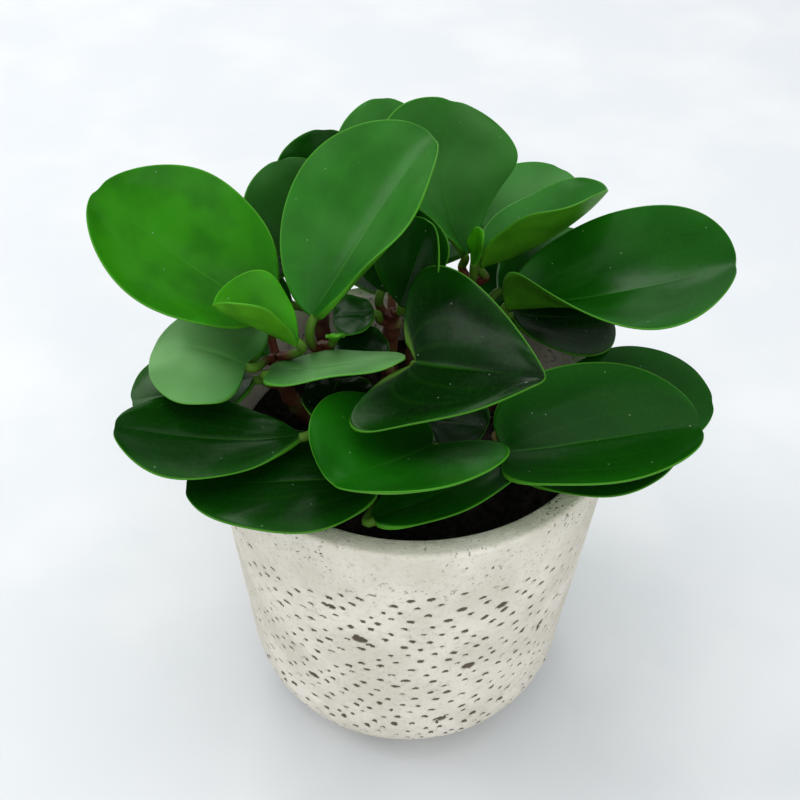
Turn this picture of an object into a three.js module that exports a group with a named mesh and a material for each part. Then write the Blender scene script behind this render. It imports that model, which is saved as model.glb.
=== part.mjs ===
// Potted peperomia: a concrete pot, its soil, the shoots and every leaf.
// Millimetres, +Z up, origin at the centre of the pot's flat foot.
import * as THREE from 'three';
import { mergeVertices } from 'three/addons/utils/BufferGeometryUtils.js';

// ---- driving dimensions ----
const POT_HEIGHT = 125;
const RIM_RADIUS = 67.5;
const LIP_WIDTH = 7.5;
const LIP_ROUND = 1.6;
const CORNER_TOP_RADIUS = 58;
const CORNER_HEIGHT = 29;
const CORNER_REACH = 23;
const CORNER_STEPS = 6;
const FLOOR_THICKNESS = 9;
const INNER_FLOOR_RADIUS = 44;
const POT_SIDES = 56;
const SOIL_TOP = 106;
const GAP = 0.3;
const STALK_CLEARANCE = 0.8;
const STEM_RADIUS = 3;
const STEM_TIP_RADIUS = 2.4;
const STEM_SIDES = 8;
const STEM_STEPS = 6;
const STALK_RADIUS = 1.5;
const STALK_RISE = 35;
const STALK_REACH = 0.38;
const CREASE_GAP = 0.4; // the least gap between the faces of a leaf folded shut, at its margins
const MITRE_LIMIT = 1.5; // the midrib is at most this many times as thick as the blade
const NEARLY_SHUT = 0.2; // cosine of the fold beyond which the mitre stops growing
const MIDRIB_TAPER = 0.75; // the share of the stalk's radius that the midrib loses by the tip
const THINNED_AT = 0.25; // how far along the blade it has thinned from the stalk
const TIP_FROM = 0.9;
const TIP_THINNESS = 0.8;
const TINY_CUP = 1e-6; // keeps the cup's division from zero
const INNER_HEIGHTS = [60, 30, 14]; // where the pot's inner wall bends
const WELD = 1e-4;
const STALK_STEPS = [0, 0.35, 0.7];
const BLADE_HALF_THICKNESS = 0.75;
const BLADE_STEPS = [0, 0.05, 0.14, 0.27, 0.42, 0.57, 0.71, 0.83, 0.92, 0.975, 1];
// one loop round a leaf: 1 is its right margin, 0 the midrib, -1 its left margin
const ACROSS = [1, 0.6, 0, -0.6, -1, -0.6, 0, 0.6];
const FACE = [-1, -1, -1, -1, -1, 1, 1, 1];

// ---- finishes ----
const FINISHES = {
  concrete: { color: 0xcfc9bf, roughness: 0.9 },
  soil: { color: 0x2c211a, roughness: 1 },
  stem: { color: 0x8a4b3a, roughness: 0.55 },
  leaf: { color: 0x2c6b25, roughness: 0.35 },
  young: { color: 0x6fb02c, roughness: 0.4 },
};

// ---- the shoots: where each leaves the soil, where it leans, and its tip ----
const SHOOTS = {
  back_right: [[16, 32, 106], [17, 40, 126], [20, 44, 144]],
  upright: [[-24, 18, 106], [-28, 12, 126], [-29, 4, 146]],
  centre: [[-8, 32, 106], [-8, 26, 130], [-7, 20, 148]],
  left: [[-36, 12, 106], [-43, 4, 124], [-44, 0, 144]],
  front: [[-2, -24, 106], [-3, -36, 118], [3, -34, 138]],
  front_right: [[30, -8, 106], [31, -21, 121], [27, -27, 137]],
  right: [[28, 22, 106], [29, 27, 124], [25, 26, 141]],
  back_left: [[-30, 38, 106], [-33, 42, 130], [-34, 40, 148]],
  middle: [[-6, 2, 106], [-6, -6, 130], [-5, -15, 150]],
  low_left: [[-16, -14, 106], [-19, -18, 122], [-23, -23, 136]],
  back: [[0, 46, 106], [2, 52, 124], [4, 56, 140]],
};

// ---- the leaves, by shoot, as they grow from it ----
// at      how far up the shoot the stalk leaves it, from 0 at the soil to 1 at the tip
// base    where the blade starts; tip: where it ends; width: across its widest place
// fold    how far both halves rise from the midrib, at the base and at the tip, in degrees
// roll    how far the right half rises over the left, at the base and at the tip, in degrees
// ease    how soon fold and roll change along the blade
// bow     how far the midrib arches up; bend: how far it arches to the right
// cup     how much more each half rises towards its margin, in degrees
// lobe    how far the margins reach back past the base
// skew    how much further the right half reaches back than that, and the left half less
// sinus   how steeply they reach back beside the stalk, from 0 to 1
// wide    where the blade is widest, below 1 nearer the base
// blunt   how square the blade's ends are, lower is squarer
const PLAIN_LEAF = {
  fold: [10, 5], roll: [0, 0], ease: 1, bow: 0, bend: 0, cup: 0, lobe: 0.15, skew: 0, sinus: 0,
  wide: 1.35, blunt: 0.55,
};
const LEAVES = {
  back_right: [
    { at: 0.95, base: [17, 47, 152], tip: [11, 68, 200], width: 54,
      fold: [52, 10], roll: [-52, -4], ease: 1.5, bow: -3, bend: -5, wide: 1.6, blunt: 0.45 },
    { at: 0.6, base: [27, 57, 150], tip: [52, 84, 165], width: 40, fold: [10, 5] },
    { at: 0.95, base: [22, 43, 151], tip: [65, 57, 174], width: 46,
      fold: [62, 38], roll: [35, 22], bow: -5, lobe: 0.3, wide: 1.1, blunt: 0.5 },
    { at: 1, base: [20, 37, 156], tip: [21, 38, 170], width: 7, fold: [40, 30], young: true },
    { at: 0.45, base: [30, 46, 138], tip: [74, 78, 134], width: 44, fold: [8, 4], bow: 4 },
    { at: 0.2, base: [26, 42, 126], tip: [60, 88, 124], width: 40, fold: [6, 4], bow: 3 },
  ],
  upright: [
    { at: 0.95, base: [-31.5, 0, 160], tip: [5, 33, 206], width: 61,
      fold: [26, 12], roll: [6, 6], bow: -3, bend: -4, cup: 34, wide: 1.2, blunt: 0.5 },
    { at: 1, base: [-25, -3, 155], tip: [-24, -11, 162], width: 6, young: true },
  ],
  centre: [
    { at: 0.7, base: [-8, 52, 152], tip: [-13, 87, 190], width: 36, fold: [10, 5] },
    { at: 0.98, base: [-4, 14, 155], tip: [4, 17, 186], width: 30,
      fold: [40, 30], roll: [-25, -25], lobe: 0.4 },
    { at: 0.8, base: [-11, 26, 152], tip: [-4, 38, 179], width: 43, fold: [10, 5] },
    { at: 0.82, base: [-13, 17, 149], tip: [-27, 16, 147.5], width: 22, fold: [8, 4], lobe: 0.4 },
  ],
  left: [
    { at: 0.95, base: [-47, 8, 156], tip: [-101, 28, 188], width: 59,
      fold: [18, 8], roll: [17, 14], bow: -4, cup: 32, lobe: 0.3, wide: 1.1, blunt: 0.5 },
    { at: 1, base: [-36, -9, 157], tip: [-62, -7, 170], width: 34,
      fold: [75, 65], roll: [-10, -10], young: true },
    { at: 0.95, base: [-52, -12.5, 150], tip: [-83, -1, 147], width: 41,
      fold: [0, 0], roll: [11, 15], bow: 3, lobe: 0.45, wide: 0.85, blunt: 0.5 },
    { at: 0.82, base: [-44, -15, 149], tip: [-2, -16, 158], width: 26,
      fold: [4, 4], roll: [20, 20], lobe: 0.7, wide: 0.75, blunt: 0.6 },
    { at: 0.6, base: [-51, -5, 138], tip: [-89, -16, 137], width: 38, fold: [6, 4] },
    { at: 0.4, base: [-48, 18, 128], tip: [-80, 38, 126], width: 34, fold: [8, 4], bow: 3 },
  ],
  front: [
    { at: 0.88, base: [6, -42, 145], tip: [-23, -62, 149], width: 66,
      fold: [4, 4], roll: [-12, -12], cup: 26, lobe: 0.7, skew: -0.25, sinus: 0.4, wide: 1, blunt: 0.5 },
    { at: 0.5, base: [-11, -56, 127.8], tip: [35, -38, 138], width: 25,
      fold: [12, 14], roll: [6, 6], lobe: 0.2, wide: 0.95, blunt: 0.55 },
  ],
  front_right: [
    { at: 0.98, base: [28, -40, 141], tip: [86, -35, 150], width: 52,
      fold: [12, 6], roll: [-6, -6], cup: 34, lobe: 0.5, wide: 0.95, blunt: 0.45 },
    { at: 0.75, base: [34, -37, 128], tip: [82, -29, 138], width: 34, fold: [6, 4] },
  ],
  right: [
    { at: 0.98, base: [31, 22, 149.5], tip: [99, 8, 178.5], width: 70,
      fold: [85, 20], roll: [35, -8], ease: 2, bow: -3, lobe: 0.15, wide: 1.05, blunt: 0.42 },
    { at: 0.7, base: [34, 34, 136], tip: [70, 40, 131], width: 46, fold: [8, 4], lobe: 0.5 },
    { at: 0.5, base: [42, 0, 130], tip: [98, -4, 132], width: 52, fold: [6, 4] },
  ],
  back_left: [
    { at: 0.8, base: [-34, 38, 152], tip: [-46, 58, 182], width: 38 },
    { at: 0.95, base: [-31, 53, 153], tip: [-32, 70, 187], width: 34 },
    { at: 0.7, base: [-41, 43, 147], tip: [-56, 49, 150], width: 28, fold: [8, 4] },
    { at: 0.75, base: [-37, 51, 143], tip: [-59, 93, 144], width: 42, fold: [8, 4], bow: 4 },
    { at: 0.5, base: [-43, 42, 133], tip: [-90, 58, 137], width: 40, fold: [8, 4], bow: 3 },
  ],
  middle: [
    { at: 0.98, base: [1, -19, 158], tip: [37.5, -41, 172], width: 64,
      fold: [13, 13], roll: [-24, -24], cup: 22, lobe: 0.4, sinus: 0.6, wide: 0.4, blunt: 0.85 },
    { at: 0.6, base: [-12, -17, 140], tip: [-35, -14, 141], width: 24 },
    { at: 0.45, base: [4, -11, 128], tip: [24, -18, 131], width: 28, fold: [8, 4] },
    { at: 0.72, base: [-9, 0, 143.2], tip: [-24, 10, 144.5], width: 21, fold: [6, 4], lobe: 0.3 },
    { at: 0.74, base: [-12, -18, 144.5], tip: [-25, -19, 143.6], width: 18,
      fold: [3, 3], lobe: 0.5, sinus: 0.5 },
  ],
  low_left: [
    { at: 0.98, base: [-34, -33, 139.5], tip: [-90, -36, 145], width: 38, fold: [6, 4], bow: -3 },
    { at: 0.4, base: [-10, -43, 133], tip: [-68, -48, 132], width: 44,
      fold: [6, 4], lobe: 0.3, wide: 0.95 },
  ],
  back: [
    { at: 0.95, base: [-5, 54, 139], tip: [-27, 47, 145], width: 30, fold: [8, 4] },
    { at: 0.8, base: [10, 62, 138], tip: [24, 116, 140], width: 46, fold: [8, 4], bow: 4 },
    { at: 0.9, base: [0, 64, 142], tip: [-12, 112, 158], width: 46, fold: [10, 6], bow: -2 },
    { at: 0.6, base: [-6, 58, 128], tip: [-22, 104, 126], width: 42, fold: [6, 4], bow: 3 },
  ],
};

const { clamp, degToRad, lerp } = THREE.MathUtils;
const UP = new THREE.Vector3(0, 0, 1);
const point = (xyz) => new THREE.Vector3(...xyz);
// start + way times amount
const along = (start, way, amount) => start.clone().addScaledVector(way, amount);

// Closed body from rings of equal length, with a flat fan over each end.
function bodyFromRings(rings) {
  const sides = rings[0].length;
  const triangles = [];
  for (let i = 0; i + 1 < rings.length; i++) {
    for (let j = 0; j < sides; j++) {
      const k = (j + 1) % sides;
      const [a, b, c, d] = [i * sides + j, i * sides + k, (i + 1) * sides + k, (i + 1) * sides + j];
      // the halves mirror each other, and both faces of a half are split along the same diagonal
      const split = Math.floor((4 * j) / sides) % 2 === 0 ? [a, b, c, a, c, d] : [a, b, d, b, c, d];
      triangles.push(...split);
    }
  }
  const last = (rings.length - 1) * sides;
  for (let j = 1; j + 1 < sides; j++) {
    triangles.push(0, j + 1, j, last, last + j, last + j + 1);
  }
  const numbers = rings.flat().flatMap((corner) => corner.toArray());
  const geometry = new THREE.BufferGeometry();
  geometry.setAttribute('position', new THREE.Float32BufferAttribute(numbers, 3));
  geometry.setIndex(triangles);
  return geometry;
}

function named(name, geometry, finish) {
  geometry.computeVertexNormals();
  const material = new THREE.MeshStandardMaterial({ ...FINISHES[finish], metalness: 0 });
  const mesh = new THREE.Mesh(geometry, material);
  mesh.name = name;
  return mesh;
}

// ---- pot and soil: profiles turned about the upright axis ----
function turned(profile) {
  const geometry = new THREE.LatheGeometry(profile, POT_SIDES);
  geometry.deleteAttribute('normal');
  geometry.deleteAttribute('uv');
  return mergeVertices(geometry, WELD).rotateX(Math.PI / 2);
}

function innerRadiusAt(height) {
  const climb = (height - FLOOR_THICKNESS) / (POT_HEIGHT - FLOOR_THICKNESS);
  return lerp(INNER_FLOOR_RADIUS, RIM_RADIUS - LIP_WIDTH, Math.sqrt(climb));
}

// A tapering outer wall on a rounded foot, a rolled lip, the inner wall and a flat floor.
function makePot() {
  const outline = [[0, 0]];
  for (let i = CORNER_STEPS; i >= 0; i--) {
    const turn = (i / CORNER_STEPS) * (Math.PI / 2);
    const radius = CORNER_TOP_RADIUS - CORNER_REACH * (1 - Math.cos(turn));
    outline.push([radius, CORNER_HEIGHT * (1 - Math.sin(turn))]);
  }
  const lipInside = RIM_RADIUS - LIP_WIDTH;
  outline.push([RIM_RADIUS, POT_HEIGHT - LIP_ROUND], [RIM_RADIUS - LIP_ROUND, POT_HEIGHT]);
  outline.push([lipInside + LIP_ROUND, POT_HEIGHT], [lipInside, POT_HEIGHT - LIP_ROUND]);
  for (const height of [SOIL_TOP, ...INNER_HEIGHTS, FLOOR_THICKNESS]) {
    outline.push([innerRadiusAt(height), height]);
  }
  outline.push([0, FLOOR_THICKNESS]);
  return named('pot', turned(outline.map(([r, z]) => new THREE.Vector2(r, z))), 'concrete');
}

function makeSoil() {
  const outline = [[0, FLOOR_THICKNESS + GAP]];
  for (const height of [SOIL_TOP, ...INNER_HEIGHTS, FLOOR_THICKNESS].reverse()) {
    outline.push([innerRadiusAt(height) - 2 * GAP, Math.max(height, FLOOR_THICKNESS + GAP)]);
  }
  outline.push([0, SOIL_TOP]);
  return named('soil', turned(outline.map(([r, z]) => new THREE.Vector2(r, z))), 'soil');
}

// ---- shoots: a round stem along a bent line, thinner at the tip ----
function shootLine(shoot) {
  return new THREE.QuadraticBezierCurve3(...SHOOTS[shoot].map(point));
}

function makeStem(shoot) {
  const line = shootLine(shoot);
  line.v0.z += GAP;
  const rings = [];
  for (let i = 0; i <= STEM_STEPS; i++) {
    const rise = i / STEM_STEPS;
    const centre = line.getPoint(rise);
    const radius = lerp(STEM_RADIUS, STEM_TIP_RADIUS, rise);
    const ring = [];
    for (let j = 0; j < STEM_SIDES; j++) {
      const turn = (j / STEM_SIDES) * 2 * Math.PI;
      ring.push(centre.clone().add(point([radius * Math.cos(turn), radius * Math.sin(turn), 0])));
    }
    rings.push(ring);
  }
  return named(`stem_${shoot}`, bodyFromRings(rings), 'stem');
}

// ---- leaves ----
// The midrib is a straight line from base to tip, arched up by bow and sideways by bend.
function midribFrame(leaf, u) {
  const base = point(leaf.base);
  const chord = point(leaf.tip).sub(base);
  const right = chord.clone().cross(UP).normalize();
  const upright = right.clone().cross(chord).normalize();
  const arch = along(upright.clone().multiplyScalar(leaf.bow), right, leaf.bend);
  const centre = along(along(base, chord, u), arch, 4 * u * (1 - u));
  const forward = along(chord, arch, 4 * (1 - 2 * u)).normalize();
  const side = forward.clone().cross(upright).normalize();
  return { centre, forward, side, normal: side.clone().cross(forward) };
}

// The stalk leaves the stem's surface at its rise and bends over into the midrib.
function stalkFrames(shoot, leaf) {
  const blade = midribFrame(leaf, 0);
  const node = shootLine(shoot).getPoint(leaf.at);
  const away = blade.centre.clone().sub(node).setZ(0);
  if (away.length() < STALK_RADIUS) {
    away.copy(blade.forward).setZ(0);
  }
  away.normalize();
  const rise = degToRad(STALK_RISE);
  const start = away.multiplyScalar(Math.cos(rise)).addScaledVector(UP, Math.sin(rise));
  const clear = (STEM_RADIUS + STALK_CLEARANCE + STALK_RADIUS * Math.sin(rise)) / Math.cos(rise);
  const root = along(node, start, clear);
  const reach = STALK_REACH * root.distanceTo(blade.centre);
  const line = new THREE.CubicBezierCurve3(
    root, along(root, start, reach), along(blade.centre, blade.forward, -reach), blade.centre,
  );
  return STALK_STEPS.map((u) => {
    const forward = line.getTangent(u);
    const normal = along(blade.normal, forward, -blade.normal.dot(forward)).normalize();
    return { centre: line.getPoint(u), forward, side: forward.clone().cross(normal), normal };
  });
}

// One loop of the leaf at u along the blade: both halves bend up from the midrib by their fold,
// and the thickness rounds off to nothing at each margin.
function leafLoop(leaf, frame, u, isBlade) {
  const swell = Math.sin(Math.PI * u ** leaf.wide) ** leaf.blunt;
  const half = Math.hypot(STALK_RADIUS * (1 - MIDRIB_TAPER * u), (leaf.width / 2) * (isBlade ? swell : 0));
  const thinning = Math.sqrt(clamp(u / THINNED_AT, 0, 1));
  const thinnest = BLADE_HALF_THICKNESS * (u > TIP_FROM ? TIP_THINNESS : 1);
  const thick = Math.min(half, lerp(STALK_RADIUS, thinnest, thinning));
  const spread = 1 - STALK_RADIUS / Math.max(half, STALK_RADIUS);
  const change = (1 - u) ** leaf.ease;
  const fold = degToRad(lerp(leaf.fold[1], leaf.fold[0], change)) * spread;
  const cup = degToRad(leaf.cup) * spread + TINY_CUP;
  const roll = degToRad(lerp(leaf.roll[1], leaf.roll[0], change)) * (isBlade ? 1 : 0);
  const side = along(frame.side.clone().multiplyScalar(Math.cos(roll)), frame.normal, Math.sin(roll));
  const normal = along(frame.normal.clone().multiplyScalar(Math.cos(roll)), frame.side, -Math.sin(roll));
  return ACROSS.map((v, i) => {
    const out = Math.abs(v);
    const turn = fold + cup * out;
    const edge = half * (1 - out);
    const depth = FACE[i] * (edge < thick ? Math.sqrt(2 * thick * edge - edge * edge) : thick);
    const mitre = Math.min(1 / Math.max(Math.cos(fold), NEARLY_SHUT), MITRE_LIMIT);
    const lean = v === 0 ? mitre : Math.cos(turn);
    const level = (half * (Math.sin(turn) - Math.sin(fold))) / cup - Math.sin(turn) * depth;
    const across = Math.sign(v) * Math.max(level, out * CREASE_GAP);
    const height = (half * (Math.cos(fold) - Math.cos(turn))) / cup + lean * depth;
    const reach = Math.max(half - STALK_RADIUS, 0) ** (1 - leaf.sinus) * (leaf.width / 2) ** leaf.sinus;
    const pull = (leaf.lobe + Math.sign(v) * leaf.skew) * (1 - u) ** 2 * out;
    const back = isBlade && half > STALK_RADIUS ? pull * reach : 0;
    return along(along(along(frame.centre, side, across), normal, height), frame.forward, -back);
  });
}

function makeLeaf(shoot, name, shape) {
  const leaf = { ...PLAIN_LEAF, ...shape };
  const stalk = stalkFrames(shoot, leaf).map((frame) => leafLoop(leaf, frame, 0, false));
  const blade = BLADE_STEPS.map((u) => leafLoop(leaf, midribFrame(leaf, u), u, true));
  return named(name, bodyFromRings([...stalk, ...blade]), leaf.young ? 'young' : 'leaf');
}

const plant = new THREE.Group();
plant.add(makePot(), makeSoil());
for (const shoot of Object.keys(SHOOTS)) {
  plant.add(makeStem(shoot));
  LEAVES[shoot].forEach((shape, i) => plant.add(makeLeaf(shoot, `leaf_${shoot}_${i + 1}`, shape)));
}

export default plant;
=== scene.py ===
"""Potted peperomia: a pitted concrete pot, its soil, the shoots and every leaf.

Shapes are worked out in millimetres, +Z up, and put into meshes in metres.
"""
import math

import bpy
import numpy as np
from mathutils import Matrix


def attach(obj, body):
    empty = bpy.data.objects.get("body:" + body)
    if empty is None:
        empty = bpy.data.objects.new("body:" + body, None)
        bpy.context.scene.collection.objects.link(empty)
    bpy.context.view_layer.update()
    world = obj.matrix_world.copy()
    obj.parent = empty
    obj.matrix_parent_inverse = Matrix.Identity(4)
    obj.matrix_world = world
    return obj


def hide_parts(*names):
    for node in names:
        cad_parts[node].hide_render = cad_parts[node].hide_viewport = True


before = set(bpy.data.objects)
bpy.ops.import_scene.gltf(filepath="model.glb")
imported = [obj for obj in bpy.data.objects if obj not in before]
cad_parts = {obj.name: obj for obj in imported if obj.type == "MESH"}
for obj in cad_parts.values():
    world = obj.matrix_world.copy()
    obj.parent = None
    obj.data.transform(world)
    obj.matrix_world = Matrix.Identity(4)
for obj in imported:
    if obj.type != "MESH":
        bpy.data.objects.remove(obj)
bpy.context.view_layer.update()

MM = 0.001
UP = np.array([0.0, 0.0, 1.0])

# ---- pot ----
POT_HEIGHT = 125.0
RIM_RADIUS = 67.5
LIP_WIDTH = 7.5
LIP_ROUND = 1.6
FOOT_RADIUS = 18.0
CORNER_TOP_RADIUS = 58.0
CORNER_HEIGHT = 29.0
CORNER_REACH = 23.0
FLOOR_THICKNESS = 9.0
INNER_FLOOR_RADIUS = 44.0
POT_COLUMNS = 540
WALL_ROWS = 136

# ---- pits and hollows in the pot's wall ----
PIT_COLUMNS = 48
PIT_ROW = 4.0
PIT_HALF_WIDTH = 1.15
PIT_HALF_HEIGHT = 0.86
PIT_DEPTH = 1.0
PITTED_RADIUS = 61.0
PIT_SPACING = 2 * math.pi * PITTED_RADIUS / PIT_COLUMNS
PITS_END = 102.0
# each pit is moved and sized by a wave of its column and row: by column, by row, height of the wave
PIT_SHIFT_ACROSS = (2.4, 5.1, 0.15)
PIT_SHIFT_UP = (3.7, 1.9, 0.16)
PIT_SWELL = (1.3, 4.2, 0.2)
PIT_MEAN_SIZE = 0.98
HOLLOW_DEPTH = 1.5
# the larger hollows: degrees round from +X, height, half width, half height
HOLLOWS = [
    (255.8, 77, 2.7, 1.9), (289.9, 60.3, 2.4, 1.9), (237.8, 43.8, 2.3, 1.6), (282.3, 28.8, 2.5, 1.6),
    (297.8, 91, 2.0, 1.6), (317.6, 63.5, 1.8, 1.9), (247.9, 91.5, 1.5, 1.3), (20, 60, 2.3, 1.6),
    (75, 38, 2.0, 1.5), (128, 70, 2.4, 1.7), (172, 45, 1.9, 1.4), (200, 82, 1.7, 1.3),
    (345, 38, 2.2, 1.6),
]

# ---- soil, shoots and leaves ----
SOIL_TOP = 106.0
SOIL_GAP = 0.6
SOIL_CRUMBS = 700
STEM_RADIUS = 3.0
STEM_TIP_RADIUS = 2.4
STEM_BURIED = 4.0
STEM_START = -0.12
STEM_SHOULDER = 0.97
STEM_DOME = 0.05
STALK_START = 1.0
STALK_CLEARANCE = 0.8
STALK_RADIUS = 1.5
STALK_RISE = math.radians(35)
STALK_REACH = 0.38
BLADE_HALF_THICKNESS = 0.75
MIDRIB_TAPER = 0.75
THINNED_AT = 0.25
TIP_FROM = 0.8
TIP_THINNING = 0.35
RIPPLE_SHARE = 0.011
MARGIN_RIPPLE = 0.5
# depth, and how far from the midrib it falls away
KEEL = (0.55, 1.3)
GROOVE = (0.35, 0.9)
TIP_NOTCH = (0.6, 2.6)

# the shoots: where each leaves the soil, where it leans, and its tip
SHOOTS = {
    "back_right": ((16, 32, 106), (17, 40, 126), (20, 44, 144)),
    "upright": ((-24, 18, 106), (-28, 12, 126), (-29, 4, 146)),
    "centre": ((-8, 32, 106), (-8, 26, 130), (-7, 20, 148)),
    "left": ((-36, 12, 106), (-43, 4, 124), (-44, 0, 144)),
    "front": ((-2, -24, 106), (-3, -36, 118), (3, -34, 138)),
    "front_right": ((30, -8, 106), (31, -21, 121), (27, -27, 137)),
    "right": ((28, 22, 106), (29, 27, 124), (25, 26, 141)),
    "back_left": ((-30, 38, 106), (-33, 42, 130), (-34, 40, 148)),
    "middle": ((-6, 2, 106), (-6, -6, 130), (-5, -15, 150)),
    "low_left": ((-16, -14, 106), (-19, -18, 122), (-23, -23, 136)),
    "back": ((0, 46, 106), (2, 52, 124), (4, 56, 140)),
}

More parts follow.
